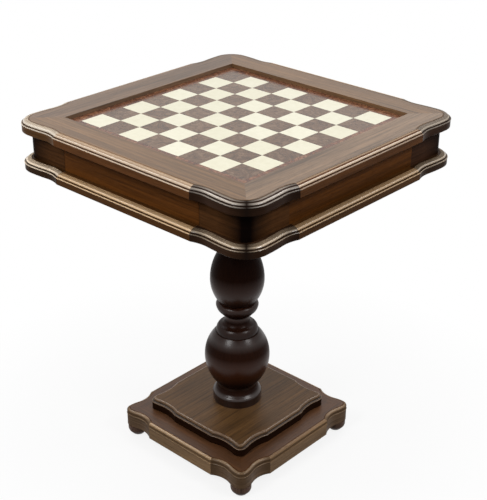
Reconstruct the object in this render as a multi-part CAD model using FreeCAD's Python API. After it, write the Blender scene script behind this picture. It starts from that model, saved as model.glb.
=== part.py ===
import FreeCAD, Part
import math
import os

os.makedirs("parts", exist_ok=True)

Vector = FreeCAD.Vector
CENTRE = Vector(0, 0, 0)
UP = Vector(0, 0, 1)

# A pedestal chess table in millimetres. The origin is on the floor under the column.
# The players sit at the front, -Y, and the back, +Y. The right side is +X.

# Whole table
table_height = 693.5

# Playing board, inlaid in a panel and sunk below the frame
squares_across = 8
square_side = 50.0
border_width = 21.0
recess_depth = 7.6
inlay_thickness = 2.0
inlay_joint = 0.1

# Frame of the top, and the rebate that holds the board panel
frame_width = 55.5
top_thickness = 22.0
rebate_width = 12.0

# Plan of the top and of the lower moulding
top_corner_run = 124.5
top_dip_run = 26.0
top_dip_depth = 5.0
top_setback = 2.0
top_corner_radius = 46.0

# Moulded edge of the top and the box
edge_width = 16.0
edge_nose_width = 10.5
edge_nose_height = 4.7
edge_nose_inset = 3.0
edge_quirk = 0.8
edge_groove = 1.1
edge_groove_depth = 1.1
edge_bead = 1.6
edge_arris = 0.8
lower_edge_height = 20.5
groove_turn_share = 0.4
nose_steps = 8

# Apron of the box
apron_height = 52.5
apron_inset = 22.5
apron_thickness = 18.0
apron_corner_radius = 20.0
bottom_board_thickness = 12.0
centre_rail_thickness = 18.0

# Drawers
drawer_depth = 230.0
drawer_back_gap = 1.0
drawer_gap = 0.8
drawer_lift = 0.5
drawer_box_inset = 8.0
drawer_wall = 12.0
drawer_side_height = 45.0
drawer_bottom_thickness = 5.0
drawer_bottom_lip = 2.5
drawer_groove = 5.0
groove_clearance = 0.2
guide_gap = 1.0
guide_width = 20.0
guide_height = 28.0

# Lower plinth
plinth_half = 169.5
plinth_height = 38.0
plinth_corner_run = 82.5
plinth_dip_run = 28.0
plinth_dip_depth = 9.0
plinth_setback = 3.5
plinth_corner_radius = 16.0
plinth_edge_width = 8.0
plinth_nose_width = 5.4
plinth_nose_height = 4.0
plinth_nose_inset = 0.6
plinth_quirk = 0.6
plinth_groove = 5.4
plinth_groove_depth = 1.5
plinth_bead = 1.6
plinth_arris = 0.8

# Upper plinth, a moulded cap on a dark riser
cap_half = 130.5
cap_height = 10.4
cap_corner_run = 79.5
cap_dip_run = 33.0
cap_dip_depth = 6.0
cap_setback = 2.5
cap_corner_radius = 13.0
cap_edge_width = 9.0
cap_nose_width = 4.5
cap_nose_height = 4.4
cap_nose_inset = 3.6
cap_quirk = 0.6
cap_groove = 2.6
cap_groove_depth = 1.0
cap_bead = 1.6
cap_arris = 0.8
riser_height = 14.3
riser_inset = 0.8

# Turned feet
foot_height = 21.8
foot_inset = 24.0
foot_radius = 20.5
foot_band = 7.8
foot_waist_radius = 18.6
foot_waist_height = 7.5
foot_floor_radius = 13.1
foot_arris = 1.0
foot_swell = 0.4
tenon_radius = 5.0
tenon_length = 12.0
tenon_clearance = 0.1

# Turned column, sizes from its foot upwards
column_foot_radius = 49.5
column_foot_band = 13.0
column_ring_height = 9.0
column_ring_bulge = 1.6
column_ring_top_radius = 46.0
column_cove_height = 18.0
column_cove_depth = 3.0
ball_foot_radius = 40.2
ball_radius = 65.5
ball_below = 63.0
ball_above = 54.0
ball_top_radius = 44.0
shoulder_step = 2.0
shoulder_height = 13.0
shoulder_radius = 37.0
shoulder_bulge = 1.6
throat_height = 8.0
throat_radius = 25.4
throat_hollow = 2.0
neck_height = 14.0
collar_flare_height = 5.5
collar_flare_hollow = 1.0
collar_foot_radius = 32.0
collar_line = 1.0
collar_bowl_height = 13.5
collar_bowl_bulge = 1.6
collar_rim_radius = 42.0
collar_rim_height = 10.0
collar_rim_bulge = 2.6
bulb_foot_radius = 36.0
bulb_radius = 53.6
bulb_below = 49.0
bulb_above = 57.0
bulb_top_radius = 38.4
vase_neck_radius = 25.0
vase_leave_share = 0.33
vase_stand_share = 0.5
astragal_height = 14.0
astragal_bulge = 8.0
capital_foot_radius = 27.0
capital_height = 54.0
capital_hollow = 7.0
capital_radius = 57.0
capital_band = 11.0

# Steel plate, screws and bolts that hold the column
plate_side = 160.0
plate_thickness = 5.0
plate_corner_radius = 12.0
screw_spacing = 120.0
screw_radius = 2.25
screw_head_radius = 4.5
screw_length = 14.0
bolt_radius = 5.0
bolt_length = 100.0
bolt_head_height = 7.0
bolt_head_flats = 16.0
washer_radius = 12.0
washer_thickness = 2.0
bolt_clearance = 0.25
washer_clearance = 1.0

# Overrun of cuts past the faces that they cut, and lap of shapes joined into one piece
overrun = 5.0
lap = 0.8

# Heights of the main levels above the floor
plinth_top = foot_height + plinth_height
riser_top = plinth_top + riser_height
cap_top = riser_top + cap_height
apron_top = table_height - top_thickness
apron_bottom = apron_top - apron_height
box_bottom = apron_bottom - lower_edge_height
column_top = box_bottom - plate_thickness
board_top = table_height - recess_depth
panel_top = board_top - inlay_thickness
bottom_board_top = box_bottom + bottom_board_thickness

# Half widths of the main squares in plan
grid_half = squares_across * square_side / 2
recess_half = grid_half + border_width
panel_half = recess_half + rebate_width
board_need = recess_half + frame_width + edge_width
drawer_need = centre_rail_thickness / 2 + drawer_back_gap + drawer_depth + apron_thickness + apron_inset
top_half = max(board_need, drawer_need)
apron_half = top_half - apron_inset
box_half = apron_half - apron_thickness


def save(shape, node):
    """Write one node to its own file."""
    shape.exportStep(f"parts/{node}.step")


def turned(shape, quarter):
    """Copy of a shape turned by quarter turns about the column's axis."""
    copy = shape.copy()
    copy.rotate(CENTRE, UP, 90 * quarter)
    return copy


def block(low, high):
    """Box between two opposite corners."""
    size = high - low
    return Part.makeBox(size.x, size.y, size.z, low)


def prism(points, bottom, top):
    """Upright prism on a polygon in plan."""
    loop = [Vector(p.x, p.y, bottom) for p in points]
    loop.append(loop[0])
    return Part.Face(Part.makePolygon(loop)).extrude(UP * (top - bottom))


def square_prism(half, bottom, top):
    """Upright square prism centred on the column's axis."""
    return block(Vector(-half, -half, bottom), Vector(half, half, top))


def bore(x, y, radius, bottom, top):
    """Upright cylinder from one level to another."""
    return Part.makeCylinder(radius, top - bottom, Vector(x, y, bottom))


def fused(solids):
    """One solid made of several that overlap or touch."""
    return solids[0].multiFuse(solids[1:]).removeSplitter()


def line(start, end):
    """Straight edge."""
    return Part.LineSegment(start, end).toShape()


def bowed(start, end, bulge):
    """Arc in the XZ plane whose middle stands off its chord by a bulge, outwards when it climbs."""
    along = (end - start).normalize()
    aside = Vector(along.z, 0, -along.x)
    return Part.Arc(start, (start + end) / 2 + aside * bulge, end).toShape()


def arc_about(centre, start, end):
    """Arc of less than half a turn about a centre."""
    radius = (start - centre).Length
    middle = (start - centre) + (end - centre)
    return Part.Arc(start, centre + middle.normalize() * radius, end).toShape()


class Outline:
    """Square plan with straight sides that break, dip and swell into each rounded corner."""

    def __init__(self, half, corner_run, dip_run, dip_depth, setback, corner_radius):
        self.half = half
        self.break_at = half - corner_run
        self.dip_at = self.break_at + dip_run
        self.dip_depth = dip_depth
        self.setback = setback
        self.dip_radius = (dip_run ** 2 + dip_depth ** 2) / (2 * dip_depth)
        self.half_turn = math.asin(dip_run / self.dip_radius) / 2
        self.corner_radius = corner_radius
        self.corner_at = half - setback - corner_radius
        rise = dip_depth - setback
        run = self.corner_at - self.dip_at
        self.nose_radius = (run ** 2 + rise ** 2) / (2 * rise) - self.dip_radius
        self.dip_centre = Vector(half - dip_depth + self.dip_radius, self.dip_at, 0)
        self.nose_centre = Vector(half - setback - self.nose_radius, self.corner_at, 0)
        self.corner_centre = Vector(self.corner_at, self.corner_at, 0)

    def corner_points(self, inset):
        """Ends of the arcs round the corner at +X +Y, from the +X side to the +Y side."""
        reach = self.dip_radius + inset
        fall = math.sqrt(reach ** 2 - (reach - self.dip_depth) ** 2)
        towards_nose = (self.nose_centre - self.dip_centre).normalize()
        first = [
            Vector(self.half - inset, self.dip_at - fall, 0),
            self.dip_centre + towards_nose * reach,
            Vector(self.half - self.setback - inset, self.corner_at, 0),
        ]
        return first + [Vector(p.y, p.x, 0) for p in reversed(first)]

    def corner_centres(self):
        """Centres of the same arcs, in the same order."""
        first = [self.dip_centre, self.nose_centre]
        return first + [self.corner_centre] + [Vector(c.y, c.x, 0) for c in reversed(first)]

    def wire(self, inset):
        """Closed plan at an inset from the outer line."""
        points = self.corner_points(inset)
        edges = [arc_about(c, p, q) for c, p, q in zip(self.corner_centres(), points, points[1:])]
        next_start = Vector(-points[0].y, points[0].x, 0)
        edges.append(line(points[-1], next_start))
        return Part.Wire([turned(edge, quarter) for quarter in range(4) for edge in edges])

    def slab(self, inset, bottom, top):
        """Board cut to the plan at an inset."""
        board = Part.Face(self.wire(inset)).extrude(UP * (top - bottom))
        board.translate(UP * bottom)
        return board

    def mitre_line(self, reach, gap=0.0):
        """Inner and outer end of the joint line through the break on the +X side."""
        start = Vector(self.half, self.break_at - gap, 0)
        inward = Vector(-math.cos(self.half_turn), -math.sin(self.half_turn), 0)
        return start + inward * reach, start - inward * reach

    def corner_zone(self, reach, bottom, top):
        """Space of one corner block, between the joints on its two sides."""
        inner, outer = self.mitre_line(reach)
        tip = Vector(self.half + reach, self.half + reach, 0)
        points = [inner, outer, tip, Vector(outer.y, outer.x, 0), Vector(inner.y, inner.x, 0)]
        return prism(points, bottom - overrun, top + overrun)

    def rail_zone(self, reach, bottom, top, gap=0.0):
        """Space of one straight rail on the +X side, between its two joints."""
        inner, outer = self.mitre_line(reach, gap)
        points = [inner, outer, Vector(outer.x, -outer.y, 0), Vector(inner.x, -inner.y, 0)]
        return prism(points, bottom - overrun, top + overrun)


class Moulding:
    """Edge profile with a quirk, a nose, a groove, a bead and a plain fascia below."""

    def __init__(self, width, nose_width, nose_height, nose_inset, quirk, groove, groove_depth, bead, arris):
        self.width = width
        self.nose_width = nose_width
        self.nose_height = nose_height
        self.nose_inset = nose_inset
        self.quirk = quirk
        self.groove = groove
        self.groove_depth = groove_depth
        self.bead = bead
        self.arris = arris

    def nose_point(self, turn_share):
        """Point at a share of the nose's quarter turn, from its top to its foot."""
        turn = math.pi / 2 * turn_share
        return Vector(self.nose_inset + self.nose_width * (1 - math.sin(turn)), 0,
                      -self.quirk - self.nose_height * (1 - math.cos(turn)))

    def points_below_nose(self, height):
        """Points of the profile from the nose's foot to the bottom."""
        foot = self.nose_point(1)
        fascia = self.bead / 2
        bead_top = foot.z - self.groove
        return [
            foot,
            Vector(self.nose_inset + self.groove_depth, 0, foot.z - self.groove * groove_turn_share),
            Vector(fascia, 0, bead_top),
            Vector(0, 0, bead_top - self.bead / 2),
            Vector(fascia, 0, bead_top - self.bead),
            Vector(fascia, 0, self.arris - height),
            Vector(fascia + self.arris, 0, -height),
        ]

    def face(self, depth, height):
        """Profile in the XZ plane. X runs inwards from the bead, Z down from the top."""
        nose_top = self.nose_point(0)
        points = self.points_below_nose(height)
        points += [Vector(depth, 0, -height), Vector(depth, 0, 0), Vector(nose_top.x, 0, 0), nose_top]
        edges = [Part.Arc(nose_top, self.nose_point(1 / 2), points[0]).toShape()]
        edges += [line(p, q) for p, q in zip(points, points[1:])]
        return Part.Face(Part.Wire(edges))

    def rail(self, outline, top, height, depth, gap=0.0):
        """Straight rail on the +X side, cut at the two joints."""
        profile = self.face(depth, height)
        profile.rotate(CENTRE, UP, 180)
        profile.translate(Vector(outline.half, -outline.half, top))
        rail = profile.extrude(Vector(0, 2 * outline.half, 0))
        return rail.common(outline.rail_zone(depth + overrun, top - height, top, gap))

    def along_corner(self, profile, outline, top):
        """Solids of a profile turned about the centre of each arc of the corner at +X +Y."""
        points = outline.corner_points(0)
        solids = []
        for centre, start, end in zip(outline.corner_centres(), points, points[1:]):
            outwards = start - centre
            hollow = centre.Length > start.Length
            inwards = outwards if hollow else outwards * -1
            placed = profile.copy()
            placed.rotate(CENTRE, UP, math.degrees(math.atan2(inwards.y, inwards.x)))
            placed.translate(start + UP * top)
            axis = UP * -1 if hollow else UP
            solids.append(placed.revolve(centre, axis, math.degrees(outwards.getAngle(end - centre))))
        return solids

    def corner(self, outline, top, height):
        """Shaped corner at +X +Y, cut at its two joints."""
        solids = self.along_corner(self.face(self.width, height), outline, top)
        zone = outline.corner_zone(self.width + overrun, top - height, top)
        return fused(solids).common(zone)

    def board(self, outline, top, height):
        """Board of the outline's plan with the moulding all round its edge."""
        nose = [self.nose_point(step / nose_steps) for step in range(nose_steps)]
        wires = []
        for point in reversed([Vector(nose[0].x, 0, 0)] + nose + self.points_below_nose(height)):
            wire = outline.wire(point.x)
            wire.translate(UP * (top + point.z))
            wires.append(wire)
        return Part.makeLoft(wires, True, True)

    def corner_block(self, outline, top, height, inner_half):
        """Shaped corner with a solid back, square inside."""
        reach = outline.half - inner_half + overrun
        back = outline.slab(self.width - lap, top - height, top)
        back = back.cut(square_prism(inner_half, top - height - overrun, top + overrun))
        back = back.common(outline.corner_zone(reach, top - height, top))
        return fused([self.corner(outline, top, height), back])


SIDES = ["right", "back", "left", "front"]
CORNERS = ["back_right", "back_left", "front_left", "front_right"]

top_plan = Outline(top_half, top_corner_run, top_dip_run, top_dip_depth, top_setback, top_corner_radius)
plinth_plan = Outline(plinth_half, plinth_corner_run, plinth_dip_run, plinth_dip_depth,
                      plinth_setback, plinth_corner_radius)
cap_plan = Outline(cap_half, cap_corner_run, cap_dip_run, cap_dip_depth, cap_setback, cap_corner_radius)

top_edge = Moulding(edge_width, edge_nose_width, edge_nose_height, edge_nose_inset,
                    edge_quirk, edge_groove, edge_groove_depth, edge_bead, edge_arris)
plinth_edge = Moulding(plinth_edge_width, plinth_nose_width, plinth_nose_height, plinth_nose_inset,
                       plinth_quirk, plinth_groove, plinth_groove_depth, plinth_bead, plinth_arris)
cap_edge = Moulding(cap_edge_width, cap_nose_width, cap_nose_height, cap_nose_inset,
                    cap_quirk, cap_groove, cap_groove_depth, cap_bead, cap_arris)

opening_half = top_plan.break_at


# Top frame: four boards mitred at the corners, rebated underneath for the board panel
def make_top_frame():
    ring = top_plan.slab(edge_width, apron_top, table_height)
    ring = ring.cut(square_prism(recess_half, apron_top - overrun, table_height + overrun))
    ring = ring.cut(square_prism(panel_half, apron_top - overrun, panel_top))
    far = top_half + overrun
    wedge = prism([CENTRE, Vector(far, -far, 0), Vector(far, far, 0)],
                  apron_top - overrun, table_height + overrun)
    for quarter, side in enumerate(SIDES):
        save(ring.common(turned(wedge, quarter)), f"top_frame_{side}")


# Moulded edge of the top: straight rails, and shaped blocks round the corners
def make_top_edge():
    rail = top_edge.rail(top_plan, table_height, top_thickness, edge_width)
    corner = top_edge.corner(top_plan, table_height, top_thickness)
    for quarter in range(4):
        save(turned(rail, quarter), f"top_edge_{SIDES[quarter]}")
        save(turned(corner, quarter), f"top_corner_{CORNERS[quarter]}")


# Playing board: a panel in the rebate, with the squares and a mitred border laid on it
def make_board():
    save(square_prism(panel_half, apron_top, panel_top), "board_panel")
    squares = {"light": [], "dark": []}
    joint = inlay_joint / 2
    for column in range(squares_across):
        for row in range(squares_across):
            low = Vector(column * square_side - grid_half, row * square_side - grid_half, panel_top)
            high = low + Vector(square_side, square_side, inlay_thickness)
            inlay = block(low + Vector(joint, joint, 0), high - Vector(joint, joint, 0))
            squares["dark" if (column + row) % 2 else "light"].append(inlay)
    for shade, pieces in squares.items():
        save(Part.makeCompound(pieces), f"{shade}_squares")
    inner = grid_half + joint
    outer = recess_half
    strip = prism([Vector(inner, joint - inner, 0), Vector(outer, joint - outer, 0),
                   Vector(outer, outer - joint, 0), Vector(inner, inner - joint, 0)], panel_top, board_top)
    save(Part.makeCompound([turned(strip, quarter) for quarter in range(4)]), "board_border")


# Apron: rounded corner posts, and fixed panels on the left and right
def make_apron():
    outer = square_prism(apron_half, apron_bottom, apron_top)
    uprights = [e for e in outer.Edges if abs(e.Vertexes[0].Z - e.Vertexes[1].Z) > apron_height / 2]
    ring = outer.makeFillet(apron_corner_radius, uprights)
    ring = ring.cut(square_prism(box_half, apron_bottom - overrun, apron_top + overrun))
    far = apron_half + overrun
    post = ring.common(block(Vector(opening_half, opening_half, apron_bottom), Vector(far, far, apron_top)))
    for quarter, corner in enumerate(CORNERS):
        save(turned(post, quarter), f"corner_post_{corner}")
    panel = block(Vector(box_half, -opening_half, apron_bottom), Vector(apron_half, opening_half, apron_top))
    save(panel, "side_panel_right")
    save(turned(panel, 2), "side_panel_left")


# Lower moulding under the posts and the side panels
def make_lower_edge():
    rail = top_edge.rail(top_plan, apron_bottom, lower_edge_height, top_half - box_half)
    save(rail, "lower_edge_right")
    save(turned(rail, 2), "lower_edge_left")
    corner = top_edge.corner_block(top_plan, apron_bottom, lower_edge_height, box_half)
    for quarter, name in enumerate(CORNERS):
        save(turned(corner, quarter), f"lower_corner_{name}")


# Floor of the box, the rail across its middle, and the guides that the drawers run between
def make_box_floor():
    floor_half = box_half - drawer_gap
    floor = block(Vector(-box_half, -floor_half, box_bottom), Vector(box_half, floor_half, bottom_board_top))
    floor = floor.cut(bore(0, 0, washer_radius + washer_clearance, box_bottom - overrun,
                           bottom_board_top + overrun))
    for x, y in screw_places():
        floor = floor.cut(bore(x, y, screw_radius, box_bottom - overrun, column_top + screw_length))
    save(floor, "bottom_board")
    rail_half = centre_rail_thickness / 2
    save(block(Vector(-box_half, -rail_half, bottom_board_top), Vector(box_half, rail_half, apron_top)),
         "centre_rail")
    inner = opening_half - drawer_box_inset + guide_gap
    guides = []
    for x in (inner, -inner - guide_width):
        for y_start, y_end in ((-box_half, -rail_half), (rail_half, box_half)):
            guides.append(block(Vector(x, y_start, bottom_board_top),
                                Vector(x + guide_width, y_end, bottom_board_top + guide_height)))
    save(Part.makeCompound(guides), "drawer_guides")


# Drawer: a front that carries the straight run of the lower moulding as its pull, and a box behind it
def make_drawer(name, quarter):
    front_half = opening_half - drawer_gap
    box_outer = opening_half - drawer_box_inset
    box_inner = box_outer - drawer_wall
    box_low = bottom_board_top + drawer_lift
    box_high = box_low + drawer_side_height
    back_at = box_half - drawer_depth
    bottom_low = apron_bottom + drawer_bottom_lip
    bottom_high = bottom_low + drawer_bottom_thickness
    tongue = drawer_groove - groove_clearance
    groove = block(Vector(back_at - overrun, -box_inner - drawer_groove, bottom_low),
                   Vector(box_half + drawer_groove, box_inner + drawer_groove, bottom_high))

    front = block(Vector(box_half, -front_half, apron_bottom),
                  Vector(apron_half, front_half, apron_top - drawer_gap)).cut(groove)
    moulding = top_edge.rail(top_plan, apron_bottom, lower_edge_height, top_half - box_half, drawer_gap)
    side = block(Vector(back_at, box_inner, box_low), Vector(box_half, box_outer, box_high)).cut(groove)
    other_side = side.mirror(CENTRE, Vector(0, 1, 0))
    back = block(Vector(back_at, -box_inner, bottom_high), Vector(back_at + drawer_wall, box_inner, box_high))
    bottom = block(Vector(back_at, -box_inner - tongue, bottom_low),
                   Vector(box_half + tongue, box_inner + tongue, bottom_high))

    pieces = {"front": front, "moulding": moulding, "left_side": other_side, "right_side": side,
              "back": back, "bottom": bottom}
    for piece, shape in pieces.items():
        save(turned(shape, quarter), f"{name}_{piece}")


def swelling(widest, end):
    """Arc from the widest point of a turned swelling to one of its ends, upright at the widest."""
    step = widest.x - end.x
    radius = (step ** 2 + (end.z - widest.z) ** 2) / (2 * step)
    centre = Vector(widest.x - radius, 0, widest.z)
    return centre, arc_about(centre, widest, end)


# Column: one turned piece with a ball, a cup collar and a vase
def make_column():
    edges = []
    at = Vector(column_foot_radius, 0, cap_top)
    start = at

    def straight(radius, rise):
        nonlocal at
        end = Vector(radius, 0, at.z + rise)
        edges.append(line(at, end))
        at = end

    def curve(radius, rise, bulge):
        nonlocal at
        end = Vector(radius, 0, at.z + rise)
        edges.append(bowed(at, end, bulge))
        at = end

    def swell(radius, below, above, end_radius):
        nonlocal at
        widest = Vector(radius, 0, at.z + below)
        end = Vector(end_radius, 0, widest.z + above)
        edges.append(swelling(widest, at)[1])
        centre, upper = swelling(widest, end)
        edges.append(upper)
        at = end
        return centre

    straight(column_foot_radius, column_foot_band)
    curve(column_ring_top_radius, column_ring_height, column_ring_bulge)
    curve(ball_foot_radius, column_cove_height, -column_cove_depth)
    swell(ball_radius, ball_below, ball_above, ball_top_radius)
    straight(ball_top_radius - shoulder_step, 0)
    straight(ball_top_radius - shoulder_step, shoulder_step)
    curve(shoulder_radius, shoulder_height, shoulder_bulge)
    curve(throat_radius, throat_height, -throat_hollow)
    straight(throat_radius, neck_height)
    curve(collar_foot_radius, collar_flare_height, -collar_flare_hollow)
    straight(collar_foot_radius - collar_line, collar_line)
    straight(collar_foot_radius + collar_line, collar_line)
    curve(collar_rim_radius, collar_bowl_height, collar_bowl_bulge)
    curve(bulb_foot_radius, collar_rim_height, collar_rim_bulge)
    bulb_centre = swell(bulb_radius, bulb_below, bulb_above, bulb_top_radius)

    # The vase leaves the bulb in line with it and stands upright under the astragal
    neck_top = Vector(vase_neck_radius, 0, column_top - capital_height - astragal_height)
    neck_length = neck_top.z - at.z
    outwards = (at - bulb_centre).normalize()
    leaving = Vector(-outwards.z, 0, outwards.x)
    vase = Part.BezierCurve()
    vase.setPoles([at, at + leaving * neck_length * vase_leave_share,
                   neck_top - UP * neck_length * vase_stand_share, neck_top])
    edges.append(vase.toShape())
    at = neck_top
    curve(vase_neck_radius, astragal_height, astragal_bulge)
    straight(capital_foot_radius, 0)
    curve(capital_radius, capital_height - capital_band, -capital_hollow)
    straight(capital_radius, capital_band)
    top_middle = Vector(0, 0, at.z)
    foot_middle = Vector(0, 0, start.z)
    edges += [line(at, top_middle), line(top_middle, foot_middle), line(foot_middle, start)]
    shaft = Part.Face(Part.Wire(edges)).revolve(CENTRE, UP, 360)

    hole = bolt_radius + bolt_clearance
    lower_end = foot_height - washer_thickness + bolt_length
    upper_end = box_bottom + washer_thickness - bolt_length
    shaft = shaft.cut(bore(0, 0, hole, cap_top - overrun, lower_end + washer_clearance))
    shaft = shaft.cut(bore(0, 0, hole, upper_end - washer_clearance, column_top + overrun))
    save(shaft, "column")


def screw_places():
    """Places of the four screws of the steel plate."""
    half = screw_spacing / 2
    return [(x, y) for x in (-half, half) for y in (-half, half)]


# Steel plate on the column's top, its screws, and the bolt and washer at each end of the column
def make_fixings():
    half = plate_side / 2
    plate = block(Vector(-half, -half, column_top), Vector(half, half, box_bottom))
    uprights = [e for e in plate.Edges if abs(e.Vertexes[0].Z - e.Vertexes[1].Z) > plate_thickness / 2]
    plate = plate.makeFillet(plate_corner_radius, uprights)
    plate = plate.cut(bore(0, 0, bolt_radius + bolt_clearance, column_top - overrun, box_bottom + overrun))
    screws = []
    for x, y in screw_places():
        head_height = screw_head_radius - screw_radius
        head = Part.makeCone(screw_head_radius, screw_radius, head_height, Vector(x, y, column_top))
        shank = bore(x, y, screw_radius, column_top, column_top + screw_length)
        screw = head.fuse(shank).removeSplitter()
        screws.append(screw)
        plate = plate.cut(screw)
    save(plate, "column_plate")
    save(Part.makeCompound(screws), "plate_screws")

    corner_radius = bolt_head_flats / math.sqrt(3)
    hexagon = [Vector(corner_radius * math.cos(math.radians(60 * k)),
                      corner_radius * math.sin(math.radians(60 * k)), 0) for k in range(6)]
    head = prism(hexagon, 0, bolt_head_height)
    upper_bolt = head.fuse(bore(0, 0, bolt_radius, -bolt_length, 0)).removeSplitter()
    lower_bolt = upper_bolt.copy()
    lower_bolt.rotate(CENTRE, Vector(1, 0, 0), 180)
    upper_bolt.translate(UP * (box_bottom + washer_thickness))
    lower_bolt.translate(UP * (foot_height - washer_thickness))
    save(Part.makeCompound([upper_bolt, lower_bolt]), "column_bolts")
    washers = []
    for level in (box_bottom, foot_height - washer_thickness):
        washer = bore(0, 0, washer_radius, level, level + washer_thickness)
        washers.append(washer.cut(bore(0, 0, bolt_radius + bolt_clearance, level - overrun, level + overrun)))
    save(Part.makeCompound(washers), "bolt_washers")


# Upper plinth: a board with a moulded edge, on a riser of the same plan
def make_upper_plinth():
    hole = bore(0, 0, bolt_radius + bolt_clearance, plinth_top - overrun, cap_top + overrun)
    save(cap_edge.board(cap_plan, cap_top, cap_height).cut(hole), "upper_plinth_cap")
    save(cap_plan.slab(riser_inset, plinth_top, riser_top).cut(hole), "upper_plinth_riser")


# Lower plinth: a thick board, edged with straight rails and shaped corner blocks
def make_lower_plinth():
    board = plinth_plan.slab(plinth_edge_width, foot_height, plinth_top)
    board = board.cut(bore(0, 0, bolt_radius + bolt_clearance, foot_height - overrun, plinth_top + overrun))
    foot_at = plinth_half - foot_inset
    socket = bore(foot_at, foot_at, tenon_radius + tenon_clearance, foot_height - overrun,
                  foot_height + tenon_length + tenon_clearance)
    for quarter in range(4):
        board = board.cut(turned(socket, quarter))
    save(board, "plinth_board")
    rail = plinth_edge.rail(plinth_plan, plinth_top, plinth_height, plinth_edge_width)
    corner = plinth_edge.corner(plinth_plan, plinth_top, plinth_height)
    for quarter, side in enumerate(SIDES):
        save(turned(rail, quarter), f"plinth_edge_{side}")
    save(Part.makeCompound([turned(corner, quarter) for quarter in range(4)]), "plinth_corners")


# Feet: turned, with a band at the top, a waist and a tenon into the plinth board
def make_feet():
    band_bottom = foot_height - foot_band
    points = [
        Vector(0, 0, 0),
        Vector(foot_floor_radius - foot_arris, 0, 0),
        Vector(foot_floor_radius, 0, foot_arris),
        Vector(foot_waist_radius, 0, foot_waist_height),
        Vector(foot_radius, 0, band_bottom),
        Vector(foot_radius, 0, foot_height),
        Vector(tenon_radius, 0, foot_height),
        Vector(tenon_radius, 0, foot_height + tenon_length),
        Vector(0, 0, foot_height + tenon_length),
        Vector(0, 0, 0),
    ]
    edges = [line(p, q) for p, q in zip(points, points[1:])]
    edges[3] = bowed(points[3], points[4], foot_swell)
    foot = Part.Face(Part.Wire(edges)).revolve(CENTRE, UP, 360)
    foot_at = plinth_half - foot_inset
    foot.translate(Vector(foot_at, foot_at, 0))
    for quarter, corner in enumerate(CORNERS):
        save(turned(foot, quarter), f"foot_{corner}")


make_top_frame()
make_top_edge()
make_board()
make_apron()
make_lower_edge()
make_box_floor()
make_drawer("back_drawer", 1)
make_drawer("front_drawer", 3)
make_column()
make_fixings()
make_upper_plinth()
make_lower_plinth()
make_feet()
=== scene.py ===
import math

import bpy
from mathutils import Euler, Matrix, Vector

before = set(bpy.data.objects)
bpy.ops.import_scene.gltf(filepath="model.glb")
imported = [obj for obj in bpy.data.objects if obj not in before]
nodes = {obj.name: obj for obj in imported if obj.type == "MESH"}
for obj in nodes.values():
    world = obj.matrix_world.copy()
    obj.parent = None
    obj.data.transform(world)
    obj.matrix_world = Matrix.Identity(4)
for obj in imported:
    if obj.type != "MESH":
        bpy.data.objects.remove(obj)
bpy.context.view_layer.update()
bpy.ops.object.select_all(action="DESELECT")


# Feet: four small turned feet, each with a tenon glued into the plinth board.
# They are stained espresso and lacquered satin, and their grain runs up.
class Value:
    """A shader value of one finish. Arithmetic on it adds Math nodes."""

    def __init__(self, finish, socket):
        self.finish = finish
        self.socket = socket

    def maths(self, operation, left, right=0.0):
        return self.finish.node("ShaderNodeMath", {"operation": operation}, {0: left, 1: right})

    def __add__(self, other):
        return self.maths("ADD", self, other)

    def __radd__(self, other):
        return self.maths("ADD", other, self)

    def __sub__(self, other):
        return self.maths("SUBTRACT", self, other)

    def __rsub__(self, other):
        return self.maths("SUBTRACT", other, self)

    def __mul__(self, other):
        return self.maths("MULTIPLY", self, other)

    def __rmul__(self, other):
        return self.maths("MULTIPLY", other, self)

    def __truediv__(self, other):
        return self.maths("DIVIDE", self, other)

    def __lt__(self, other):
        return self.maths("LESS_THAN", self, other)

    def __gt__(self, other):
        return self.maths("GREATER_THAN", self, other)

    def __abs__(self):
        return self.maths("ABSOLUTE", self)


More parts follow.
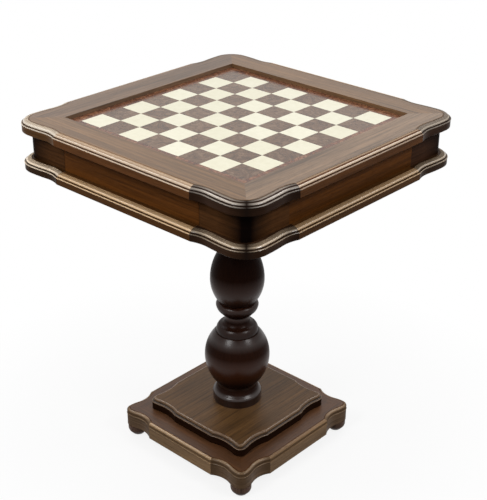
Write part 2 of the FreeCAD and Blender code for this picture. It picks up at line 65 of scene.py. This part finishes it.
class Finish:
    """One material, or the surround as one of the worlds, and its nodes."""

    def __init__(self, name, store="materials"):
        self.data = getattr(bpy.data, store).new(name)
        self.data.use_nodes = True
        self.tree = self.data.node_tree
        self.tree.nodes.clear()
        self.place = self.node("ShaderNodeTexCoord", output="Object")

    def node(self, kind, settings={}, sockets={}, output=0):
        """Add a node, set it up, then give its sockets their values or links."""
        made = self.tree.nodes.new(kind)
        for name, setting in settings.items():
            if name == "stops":
                ramp = made.color_ramp.elements
                while len(ramp) < len(setting):
                    ramp.new(1.0)
                for element, (position, colour) in zip(ramp, setting):
                    element.position = position
                    element.color = (*colour, 1.0)
            else:
                setattr(made, name, setting)
        for name, value in sockets.items():
            if isinstance(value, Value):
                self.tree.links.new(value.socket, made.inputs[name])
            else:
                made.inputs[name].default_value = value
        if len(made.outputs):
            return Value(self, made.outputs[output])

    def axis(self, name):
        """One of the object coordinates X, Y and Z."""
        return self.node("ShaderNodeSeparateXYZ", {}, {0: self.place}, output=name)

    def off_diagonal(self):
        """Distance from the diagonals of the plan, measured along a side."""
        return abs(abs(self.axis("X")) - abs(self.axis("Y")))

    def mapped(self, stretch, shift=(0, 0, 0)):
        """Object coordinates, stretched and shifted for a pattern."""
        return self.node("ShaderNodeMapping", {},
                         {"Vector": self.place, "Location": shift, "Scale": stretch})

    def noise(self, place, detail=4.0, roughness=0.55, distortion=0.0):
        return self.node("ShaderNodeTexNoise", {},
                         {"Vector": place, "Scale": 1.0, "Detail": detail,
                          "Roughness": roughness, "Distortion": distortion})

    def ramp(self, value, stops):
        return self.node("ShaderNodeValToRGB", {"stops": stops}, {"Fac": value})

    def mix(self, share, first, second, blend="MIX"):
        """Colour mixed from two by a share."""
        first, second = [c if isinstance(c, Value) else (*c, 1.0) for c in (first, second)]
        return self.node("ShaderNodeMix", {"data_type": "RGBA", "blend_type": blend},
                         {0: share, 6: first, 7: second}, output=2)

    def close(self, colour, roughness, constants={}, height=None, depth=0.0):
        """End in a lacquered surface, with a bump if a height is given, and return the material."""
        sockets = {"Base Color": colour, "Roughness": roughness, **constants}
        if height is not None:
            sockets["Normal"] = self.node("ShaderNodeBump", {}, {"Height": height, "Distance": depth})
        surface = self.node("ShaderNodeBsdfPrincipled", {}, sockets)
        self.node("ShaderNodeOutputMaterial", {}, {"Surface": surface})
        return self.data


GRAIN_AXES = {"x": (1, 0, 0), "y": (0, 1, 0), "z": (0, 0, 1), "around": (1, 1, 0)}
PORE_DEPTH = 0.00006
PORE_ROUGHNESS = 0.12


def grained(finish, grain, tones, shift=0.0):
    """Colour and pores of wood whose grain runs along x, y, z or around a corner."""
    def pattern(along, across, *look):
        """Noise with so many repeats a metre along and across the grain."""
        stretch = [along if runs else across for runs in GRAIN_AXES[grain]]
        return finish.noise(finish.mapped(stretch, (shift, shift * 2, shift * 3)), *look)

    figure = pattern(1.6, 26.0, 3.0, 0.5, 0.5)
    streaks = pattern(5.0, 190.0, 3.0, 0.6)
    fibre = pattern(16.0, 620.0, 3.0, 0.6)
    pores = pattern(60.0, 1500.0, 2.0)
    dark, middle, light = tones
    tone = figure * 0.3 + streaks * 0.45 + fibre * 0.25
    colour = finish.ramp(tone, [(0.39, dark), (0.5, middle), (0.61, light)])
    shaded = finish.ramp(pores, [(0.52, (1, 1, 1)), (0.66, (0.72, 0.68, 0.66))])
    return finish.mix(1.0, colour, shaded, "MULTIPLY"), pores


def tones_of(red, green, blue, spread=0.35):
    """Dark, middle and light tone of one wood."""
    return [tuple(c * k for c in (red, green, blue)) for k in (1 - spread, 1, 1 + spread)]


def timber(name, grain, tones, roughness, specular, shaping=None, shift=0.0, coat=(1.7, 0.2)):
    """Lacquered wood. A shaping changes its colour and gives the weight of a polish over it."""
    finish = Finish(name)
    colour, pores = grained(finish, grain, tones, shift)
    constants = {"Specular IOR Level": specular, "Coat IOR": coat[0], "Coat Roughness": coat[1]}
    if shaping:
        colour, constants["Coat Weight"] = shaping(finish, colour)
    return finish.close(colour, roughness + pores * PORE_ROUGHNESS, constants, pores, -PORE_DEPTH)


def dress(finish, *names):
    """Give CAD nodes a finish."""
    for name in names:
        slots = nodes[name].data.materials
        slots.clear()
        slots.append(finish)


def each(stem, *ends):
    """Names of pieces that share a stem."""
    return [f"{stem}_{end}" for end in ends]


FRONT_CORNERS = ("front_left", "front_right")
BACK_CORNERS = ("back_right", "back_left")
dress(timber("espresso_foot", "z", tones_of(0.118, 0.067, 0.047), 0.34, 0.08),
      *each("foot", *FRONT_CORNERS, *BACK_CORNERS))


# Lower plinth: a thick board veneered with four mitred strips of walnut.
# Straight rails and shaped corner blocks are glued round its edge, with a nose, a cove and a bead.
FLAT_DEPTH = 0.00005
MITRE_HALF = 0.0006


def bands(finish, distance, span, stops):
    """Strength along a distance within a span, from pairs of a distance in millimetres and a strength."""
    return finish.ramp(distance * 1000.0 / span, [(at / span, (strength,) * 3) for at, strength in stops])


def moulding(top, height, nose, groove, bead, crown, glaze_shade, worn_lit, worn_lit_share=0.8, beaded=1.0, quirk=0.0,
             hollow=0.7, flat=None, corner=None, gloss=1.0, flat_gloss=0.0):
    """Shaping of a moulding whose nose, groove and bead end at the given depths in millimetres.
    The nose is worn lighter and given a painted highlight by its crown, pairs of a share of its depth
    and a strength, and is polished where the crown is full. The bead is worn lighter with a painted
    highlight too, and glaze with painted shade lies in the quirk and the hollow. A corner is darkened
    with that glaze by its strength on the diagonal, the distance of its joints and the strength there.
    The flat top may have the wood of another piece."""
    crest = [(nose * share, strength) for share, strength in crown]
    ridge = [(groove - 0.3, 0.0), (groove + 0.1, beaded), (bead - 0.1, beaded), (bead + 0.6, 0.0)]
    worn_lit_bands = [(at, worn_lit_share * strength) for at, strength in crest] + ridge
    glaze_shade_bands = [(nose * 0.14, 0.0), (nose * 0.18, quirk), (nose * 0.28, quirk), (nose * 0.36, 0.0),
               (nose * 0.78, 0.0), (nose * 0.97, hollow), (groove - 0.4, hollow), (groove, 0.0)]
    polishing = ([(0.0, flat_gloss), (0.05, flat_gloss)]
                 + [(max(at, 0.1), gloss if strength == 1.0 else 0.0) for at, strength in crest]
                 + [(at, gloss * strength) for at, strength in ridge])

    def apply(finish, colour):
        depth = top - finish.axis("Z")
        # Wear with a painted highlight on the nose's crown and the bead, then glaze with painted shade in the
        # quirk and hollow.
        colour = finish.mix(bands(finish, depth, height, worn_lit_bands), colour, worn_lit)
        colour = finish.mix(bands(finish, depth, height, glaze_shade_bands), colour, glaze_shade)
        polish = bands(finish, depth, height, polishing)
        # A corner is darkened towards its diagonal and towards its joints.
        if corner:
            strength, reach, end = corner
            corner_darkening = [(0.0, strength), (15.0, strength / 2), (38.0, 0.0), (reach * 0.65, 0.0),
                      (reach * 0.82, end * 0.75), (reach, end)]
            darkened = bands(finish, finish.off_diagonal(), reach, corner_darkening)
            colour = finish.mix(darkened, colour, glaze_shade)
            polish = polish * (1 - darkened)
        if flat:
            colour = finish.mix(depth < FLAT_DEPTH, colour, grained(finish, *flat)[0])
        return colour, polish
    return apply


veneer = tones_of(0.085, 0.035, 0.013)
side_shift = 3.1
plinth_gloss = (0.36, 0.05)
plinth_joint = 82.5
plinth_shape = dict(
    top=0.0598, height=38.0, nose=4.6, groove=10.0, bead=11.6, glaze_shade=(0.095, 0.055, 0.027),
    crown=[(0.0, 0.4), (0.08, 1.0), (0.3, 1.0), (0.6, 0.2), (0.8, 0.0)], worn_lit=(0.50, 0.34, 0.20),
    gloss=0.3, beaded=0.3, flat_gloss=0.3)
# The left and right rails are painted as the shaded sides: no highlight on nose or bead, and glaze in the quirk.
plinth_side = dict(plinth_shape, worn_lit_share=0.0, beaded=0.0, quirk=0.3, gloss=0.1)
plinth_block = dict(plinth_shape, worn_lit_share=0.4, corner=(0.6, plinth_joint, 0.8))


def mitred_walnut(name, tones, roughness, specular):
    """Veneer in four strips whose grain runs along their own side."""
    finish = Finish(name)
    along_x, pores = grained(finish, "x", tones)
    along_y = grained(finish, "y", tones, side_shift)[0]
    x, y = abs(finish.axis("X")), abs(finish.axis("Y"))
    colour = finish.mix(x > y, along_x, along_y)
    colour = finish.mix((abs(x - y) < MITRE_HALF) * 0.7, colour, tones[0])
    return finish.close(colour, roughness + pores * PORE_ROUGHNESS, {"Specular IOR Level": specular},
                        pores, -PORE_DEPTH)


dress(mitred_walnut("plinth_veneer", veneer, 0.3, 0.4), "plinth_board")
# The front and back rails are painted lighter than the left and right ones, as the lit sides.
dress(timber("plinth_rail_x", "x", tones_of(0.297, 0.184, 0.097), *plinth_gloss,
             moulding(**plinth_shape, flat=("x", veneer))),
      *each("plinth_edge", "front", "back"))
dress(timber("plinth_rail_y", "y", tones_of(0.254, 0.157, 0.084), *plinth_gloss,
             moulding(**plinth_side, flat=("y", veneer, side_shift))),
      *each("plinth_edge", "left", "right"))
dress(timber("plinth_block", "around", tones_of(0.180, 0.111, 0.065), *plinth_gloss,
             moulding(**plinth_block, flat=("y", veneer, side_shift))),
      "plinth_corners")


# Upper plinth: a walnut board with a moulded edge, on a riser stained black.
# Both are bolted through to the column.
walnut = tones_of(0.096, 0.048, 0.017, 0.45)
dark_glaze_shade = (0.010, 0.005, 0.003)
# The cap's nose and bead are worn lighter with a painted highlight, and glaze with painted shade lies in its
# hollow.
cap_shape = dict(
    top=0.0845, height=10.4, nose=5.0, groove=7.6, bead=9.2, glaze_shade=dark_glaze_shade, worn_lit=(0.30, 0.20, 0.13),
    crown=[(0.0, 0.6), (0.05, 1.0), (0.15, 1.0), (0.4, 0.2), (0.7, 0.0)],
    worn_lit_share=0.5, beaded=0.3, gloss=0.2)
dress(timber("riser_black", "around", tones_of(0.018, 0.007, 0.003), 0.36, 0.02), "upper_plinth_riser")
dress(timber("cap_walnut", "y", walnut, 0.34, 0.25, moulding(**cap_shape, flat=("y", walnut))),
      "upper_plinth_cap")


# Column: one turned post with a ball, a cup collar and a vase, bored for a bolt at each end.
# It is stained espresso, a shade darker than the feet, and left dull between its swells.
# The swells are polished, and a warm sheen is painted on the ball's belly, the collar and the vase.
espresso = tones_of(0.018, 0.006, 0.003, 0.2)
sheen_tint = (0.050, 0.013, 0.004)
column_span = 400.0
column_polish = [
    (100, 0.9), (106, 0.9), (110, 0.05), (118, 0.02), (122, 0.8), (127, 0.4), (134, 0.0), (152, 0.15),
    (162, 0.25), (174, 0.42), (186, 0.42), (197, 0.25), (206, 0.02), (218, 0.02), (231, 0.62), (246, 0.28),
    (252, 0.3), (256, 0.3), (259, 0.12), (268, 0.0), (273, 0.25), (277, 0.6), (281, 0.1), (292, 0.1),
    (306, 0.5), (317, 0.05), (328, 0.5), (336, 0.6), (376, 0.0)]
column_sheen = [
    (142, 0.0), (151, 0.6), (162, 0.9), (180, 0.85), (192, 0.6), (205, 0.1), (215, 0.0), (270, 0.0),
    (275, 0.5), (281, 0.4), (288, 0.0), (300, 0.3), (310, 0.2), (316, 0.0), (330, 0.6), (346, 0.6),
    (376, 0.0)]


def polished_swells(finish, colour):
    """Painted warm sheen and polish up the column, from pairs of a height in millimetres and a strength."""
    height = finish.axis("Z")
    sheen = bands(finish, height, column_span, column_sheen)
    polish = bands(finish, height, column_span, column_polish)
    # Painted sheen: the colour is lightened towards a warm tint on the belly, the collar and the vase.
    return finish.mix(sheen, colour, sheen_tint), polish


dress(timber("espresso_column", "z", espresso, 0.3, 0.02, polished_swells, coat=(1.5, 0.28)), "column")


# Steel plate, screws, bolts and washers that hold the column to the box and the plinths.
# They are zinc plated and rolled, with a fine brushed grain.
def zinc(name):
    """Brushed metal."""
    finish = Finish(name)
    brushed = finish.noise(finish.mapped((60, 1800, 1800)), 3.0)
    colour = finish.ramp(brushed, [(0.3, (0.46, 0.46, 0.47)), (0.7, (0.62, 0.62, 0.62))])
    return finish.close(colour, 0.28 + brushed * 0.16, {"Metallic": 1.0}, brushed, 0.00003)


dress(zinc("zinc_plate"), "column_plate", "plate_screws", "column_bolts", "bolt_washers")


# Floor of the box, stained like the column, and centre rail and drawer guides of plain sanded wood.
# They are glued and screwed between the fixed sides of the box.
plain = tones_of(0.46, 0.31, 0.18, 0.2)
sanded = (0.55, 0.3)
dress(timber("stained_floor", "x", espresso, 0.5, 0.2), "bottom_board")
dress(timber("plain_rail", "x", plain, *sanded), "centre_rail")
dress(timber("plain_guide", "y", plain, *sanded), "drawer_guides")


# Apron: panels of walnut between rounded corner posts of the same wood, darker round the corner.
# The veneer runs level round the box, and the back posts are darker.
corner_dark = (0.002, 0.001, 0.001)
post_gloss = (0.34, 0.01)
post_shift = 1.7


def darkened_corner(finish, colour):
    """Darker on the rounding of a post, fading out on its flats, and no polish."""
    darkened = bands(finish, finish.off_diagonal(), 100.0, [(10.0, 0.98), (34.0, 0.5), (62.0, 0.0)])
    return finish.mix(darkened, colour, corner_dark), 0.0


dress(timber("apron_walnut", "around", tones_of(0.111, 0.038, 0.008), 0.34, 0.02),
      *each("side_panel", "left", "right"), "front_drawer_front", "back_drawer_front")
dress(timber("post_walnut", "around", tones_of(0.090, 0.037, 0.013), *post_gloss, darkened_corner, post_shift),
      *each("corner_post", *FRONT_CORNERS))
dress(timber("post_walnut_dark", "around", tones_of(0.054, 0.024, 0.013), *post_gloss, darkened_corner, post_shift),
      *each("corner_post", *BACK_CORNERS))


# Lower moulding of the box: straight rails on the left and right, and shaped corner blocks.
# It is run in walnut to the profile of the top's edge, and its nose and bead are worn and polished,
# with a painted highlight on them. The front right block is painted shaded, with a darkened corner,
# the front left one is painted lit and paler, and the back ones are painted shaded.
rail_gloss = (0.32, 0.03)
block_gloss = (0.3, 0.03)
edge_joint = 124.5
edge_shape = dict(nose=5.5, groove=6.6, bead=8.2, glaze_shade=dark_glaze_shade)
lower_walnut = tones_of(0.084, 0.034, 0.009)
lower_shape = dict(
    edge_shape, top=0.619, height=20.5, worn_lit=(0.83, 0.56, 0.31), worn_lit_share=1.0, hollow=0.5,
    crown=[(0.0, 0.0), (0.03, 0.5), (0.33, 0.4), (0.44, 1.0), (0.66, 1.0), (0.78, 0.45), (0.92, 0.1)])
# The left and right rails have less painted highlight on the nose and bead, as the shaded sides.
lower_side = dict(lower_shape, worn_lit_share=0.72, beaded=0.7)
# Painted shaded copy for the front right block: a weaker highlight and a darkened corner.
lower_shaded = dict(
    lower_shape, worn_lit=(0.66, 0.51, 0.35), worn_lit_share=0.95, beaded=0.5, corner=(1.0, edge_joint, 0.6),
    crown=[(0.0, 0.0), (0.03, 0.35), (0.33, 0.26), (0.44, 1.0), (0.64, 1.0), (0.78, 0.35), (0.92, 0.0)])
# Painted lit copy for the front left block: a paler highlight.
lower_lit = dict(lower_shape, worn_lit=(0.95, 0.76, 0.55), beaded=0.8)
# Painted shaded copies for the back blocks: a weaker highlight.
lower_dim = dict(lower_shaded, worn_lit_share=0.7, corner=None)
dress(timber("lower_rail_y", "y", lower_walnut, *rail_gloss, moulding(**lower_side)),
      *each("lower_edge", "left", "right"))
dress(timber("lower_block", "around", tones_of(0.046, 0.021, 0.010), *block_gloss, moulding(**lower_shaded)),
      "lower_corner_front_right")
dress(timber("lower_block_lit", "around", tones_of(0.030, 0.013, 0.004), *block_gloss, moulding(**lower_lit)),
      "lower_corner_front_left")
dress(timber("lower_block_dim", "around", tones_of(0.030, 0.013, 0.005), *block_gloss, moulding(**lower_dim)),
      *each("lower_corner", *BACK_CORNERS))


# Drawers: one on each player's side, with a plain glued box of pale wood behind the front.
# The straight run of the lower moulding is glued under the front and serves as its pull.
drawer_gloss = (0.5, 0.3)
dress(timber("lower_rail_x", "x", lower_walnut, *rail_gloss, moulding(**lower_shape)),
      "front_drawer_moulding", "back_drawer_moulding")
for drawer in ("front_drawer", "back_drawer"):
    dress(timber(f"{drawer}_side_wood", "y", plain, *drawer_gloss), *each(drawer, "left_side", "right_side"))
    dress(timber(f"{drawer}_back_wood", "x", plain, *drawer_gloss), *each(drawer, "back", "bottom"))


# Frame of the top: four walnut boards mitred at the corners and lacquered satin.
# The grain runs along each board.
frame_long = tones_of(0.166, 0.089, 0.037, 0.45)
frame_left = tones_of(0.136, 0.079, 0.043, 0.5)
frame_right = tones_of(0.188, 0.119, 0.070, 0.5)
left_shift = 2.0
right_shift = 4.0
frame_gloss = (0.3, 0.45)
dress(timber("frame_walnut_long", "x", frame_long, *frame_gloss), *each("top_frame", "front", "back"))
dress(timber("frame_walnut_left", "y", frame_left, *frame_gloss, shift=left_shift), "top_frame_left")
dress(timber("frame_walnut_right", "y", frame_right, *frame_gloss, shift=right_shift), "top_frame_right")


# Moulded edge of the top: straight rails with shaped blocks round the corners, in glossy walnut.
# The joints are at the breaks of the outline, and the frame's veneer runs out over the flat top.
# The blocks are painted shaded with a darkened corner, painted lit and paler, and painted shaded,
# at the same corners as those of the lower moulding. Noses and beads are worn with a painted highlight.
edge_walnut = tones_of(0.130, 0.050, 0.016)
block_walnut = tones_of(0.036, 0.016, 0.008)
block_flat = ("x", frame_left)
edge_crown = [(0.0, 0.0), (0.03, 0.5), (0.12, 0.5), (0.17, 0.0), (0.33, 0.0), (0.42, 1.0), (0.66, 1.0),
              (0.8, 0.35), (0.92, 0.0)]
top_shape = dict(
    edge_shape, top=0.6935, height=22.0, worn_lit=(0.66, 0.50, 0.35), worn_lit_share=0.9, flat_gloss=0.15,
    crown=[(0.0, 0.0), (0.03, 0.9), (0.15, 0.7), (0.25, 0.4), (0.33, 0.5), (0.42, 1.0), (0.68, 1.0),
           (0.82, 0.4), (0.94, 0.1)])
# The left and right rails get a narrower painted highlight and a dimmer bead, as the shaded sides.
top_side = dict(top_shape, crown=edge_crown, quirk=0.2, beaded=0.5, flat_gloss=0.6)
top_shaded = dict(
    top_shape, crown=edge_crown, worn_lit=(0.60, 0.52, 0.44), quirk=0.4, beaded=0.5, gloss=0.8,
    corner=(1.0, edge_joint, 0.6))
top_lit = dict(
    top_shape, worn_lit=(0.76, 0.66, 0.53), beaded=0.8,
    crown=[(0.0, 0.0), (0.03, 0.5), (0.15, 0.6), (0.33, 0.8), (0.42, 1.0), (0.68, 1.0), (0.82, 0.5),
           (0.94, 0.1)])
top_dim = dict(
    top_shaded, worn_lit=(0.50, 0.43, 0.35), quirk=0.1, beaded=0.4, gloss=0.3, corner=None,
    crown=[(0.0, 0.3), (0.12, 0.35), (0.33, 0.4), (0.44, 0.9), (0.66, 0.9), (0.8, 0.3), (0.92, 0.0)])
dress(timber("edge_rail_long", "x", edge_walnut, *rail_gloss, moulding(**top_shape, flat=("x", frame_long))),
      *each("top_edge", "front", "back"))
dress(timber("edge_rail_left", "y", edge_walnut, *rail_gloss,
             moulding(**top_side, flat=("y", frame_left, left_shift))),
      "top_edge_left")
dress(timber("edge_rail_right", "y", edge_walnut, *rail_gloss,
             moulding(**top_side, flat=("y", frame_right, right_shift))),
      "top_edge_right")
# Painted shaded copy for the front right block, with a darkened corner.
dress(timber("edge_block", "around", block_walnut, *block_gloss, moulding(**top_shaded, flat=block_flat)),
      "top_corner_front_right")
# Painted lit copy for the front left block: lighter wood and a paler highlight.
dress(timber("edge_block_lit", "around", tones_of(0.115, 0.054, 0.019), *block_gloss,
             moulding(**top_lit, flat=block_flat)),
      "top_corner_front_left")
# Painted shaded copies for the back blocks, with a weaker highlight.
dress(timber("edge_block_dim", "around", block_walnut, *block_gloss, moulding(**top_dim, flat=block_flat)),
      *each("top_corner", *BACK_CORNERS))


# Playing board: squares of pale maple and of reddish burl, with a burl border mitred at the corners.
# They are glued on a panel and lacquered to a soft gloss.
square_side = 0.05
board_roughness = 0.20
board_lacquer = {"Specular IOR Level": 0.5}


def square_tone(finish):
    """A tone of its own for each square."""
    cell = finish.node("ShaderNodeVectorMath", {"operation": "FLOOR"},
                       {0: finish.mapped((1 / square_side,) * 3)})
    return finish.node("ShaderNodeTexWhiteNoise", {}, {"Vector": cell})


def maple(name):
    """Pale wood with a fine mottle."""
    finish = Finish(name)
    shade = square_tone(finish)
    mottle = finish.noise(finish.mapped((90, 90, 90)), 5.0, 0.6)
    fibre = finish.noise(finish.mapped((25, 420, 25)), 3.0)
    tone = mottle * 0.5 + fibre * 0.25 + shade * 0.25
    colour = finish.ramp(tone, [(0.3, (0.76, 0.72, 0.54)), (0.7, (0.86, 0.83, 0.66))])
    return finish.close(colour, board_roughness + mottle * 0.06, board_lacquer)


def burl(name, tones, scale):
    """Swirling dark wood with fine specks."""
    finish = Finish(name)
    shade = square_tone(finish)
    swirl = finish.noise(finish.mapped((scale,) * 3), 6.0, 0.65, 1.6)
    speck = finish.noise(finish.mapped((420, 420, 420)), 3.0)
    dark, middle, light = tones
    tone = swirl * 0.75 + speck * 0.2 + shade * 0.05
    colour = finish.ramp(tone, [(0.38, dark), (0.5, middle), (0.62, light)])
    return finish.close(colour, board_roughness + speck * 0.08, board_lacquer)


dress(timber("board_core", "x", plain, 0.6, 0.3), "board_panel")
dress(maple("maple_inlay"), "light_squares")
dress(burl("burl_inlay", [(0.065, 0.032, 0.016), (0.125, 0.066, 0.034), (0.20, 0.12, 0.07)], 60.0),
      "dark_squares")
dress(burl("burl_border", [(0.06, 0.018, 0.009), (0.15, 0.055, 0.025), (0.30, 0.14, 0.07)], 70.0),
      "board_border")


# Studio: white paper on the floor, a white surround and soft boxes round the table.
# Gloss and glass see the same white as the camera, and the paper keeps the table's shadow.
floor_half = 6.0
paper_reach = 2.0
ambient = 0.12
bpy.ops.mesh.primitive_plane_add(size=2 * floor_half)
floor = bpy.context.object
floor.name = "studio_floor"


def shown(finish):
    """One for camera, glossy and transmission rays."""
    rays = finish.node("ShaderNodeLightPath").socket.node.outputs
    seen = [Value(finish, rays[f"Is {kind} Ray"]) for kind in ("Camera", "Glossy", "Transmission")]
    return finish.node("ShaderNodeClamp", {}, {0: seen[0] + seen[1] + seen[2]})


paper = Finish("studio_paper")
white = paper.node("ShaderNodeEmission", {}, {"Color": (1, 1, 1, 1), "Strength": 1.0})
away = paper.node("ShaderNodeVectorMath", {"operation": "LENGTH"}, {0: paper.place}, output="Value")
from_middle = away / paper_reach
shade = paper.ramp(from_middle, [(0.15, (0.22, 0.22, 0.22)), (0.5, (0.12, 0.12, 0.12))])
matt = paper.node("ShaderNodeBsdfDiffuse", {}, {"Color": paper.mix(shown(paper), shade, (0.9, 0.9, 0.9))})
clear = paper.ramp(from_middle, [(0.1, (0.85, 0.85, 0.85)), (0.35, (1, 1, 1))])
lit = paper.node("ShaderNodeMixShader", {}, {0: shown(paper) * clear, 1: matt, 2: white})
paper.node("ShaderNodeOutputMaterial", {}, {"Surface": lit})
floor.data.materials.append(paper.data)

surround = Finish("studio_surround", "worlds")
strength = ambient + shown(surround) * (1 - ambient)
background = surround.node("ShaderNodeBackground", {}, {"Color": (1, 1, 1, 1), "Strength": strength})
surround.node("ShaderNodeOutputWorld", {}, {"Surface": background})
bpy.context.scene.world = surround.data


def soft_box(name, way, reach, target, size, level):
    """Lamp in a direction from its target, which it lights at a level where 1 shows colours as written."""
    lamp = bpy.data.lights.new(name, "AREA")
    lamp.shape = "RECTANGLE"
    lamp.size, lamp.size_y = size
    lamp.energy = level * (math.pi * reach) ** 2
    box = bpy.data.objects.new(name, lamp)
    bpy.context.scene.collection.objects.link(box)
    outward = Vector(way).normalized()
    box.location = Vector(target) + outward * reach
    box.rotation_euler = (-outward).to_track_quat("-Z", "Y").to_euler()


box_height = (0, 0, 0.6)
column_middle = (0, 0, 0.3)
soft_box("left_strip", (-0.65, -0.02, 0.75), 2.2, box_height, (1.3, 0.8), 0.33)
soft_box("right_strip", (0.04, 0.69, 0.72), 2.2, box_height, (1.3, 0.8), 0.25)
soft_box("left_key", (-0.02, -0.73, 0.70), 2.4, column_middle, (0.7, 0.7), 0.41)
soft_box("right_key", (0.70, 0.17, 0.70), 2.4, column_middle, (0.7, 0.7), 0.34)
soft_box("front_box", (0.44, -0.50, 0.75), 2.2, box_height, (1.4, 1.0), 0.07)


# Camera: at the photograph's place, found from the board's corners and the outline.
# The picture is shown plainly, with the standard view transform.
camera_place = (1.3244, -1.4235, 1.396)
camera_turn = 42.583
camera_dip = 26.673
camera_roll = 0.214
camera_lens = 81.23
camera_sensor = 36.0
camera = bpy.data.objects.new("camera", bpy.data.cameras.new("camera"))
bpy.context.scene.collection.objects.link(camera)
camera.data.sensor_width = camera_sensor
camera.data.lens = camera_lens
camera.location = camera_place
look = Euler((math.radians(90 - camera_dip), 0, math.radians(camera_turn)))
roll = Euler((0, 0, math.radians(camera_roll)))
camera.rotation_euler = (look.to_matrix() @ roll.to_matrix()).to_euler()
bpy.context.scene.camera = camera
bpy.context.scene.view_settings.view_transform = "Standard"
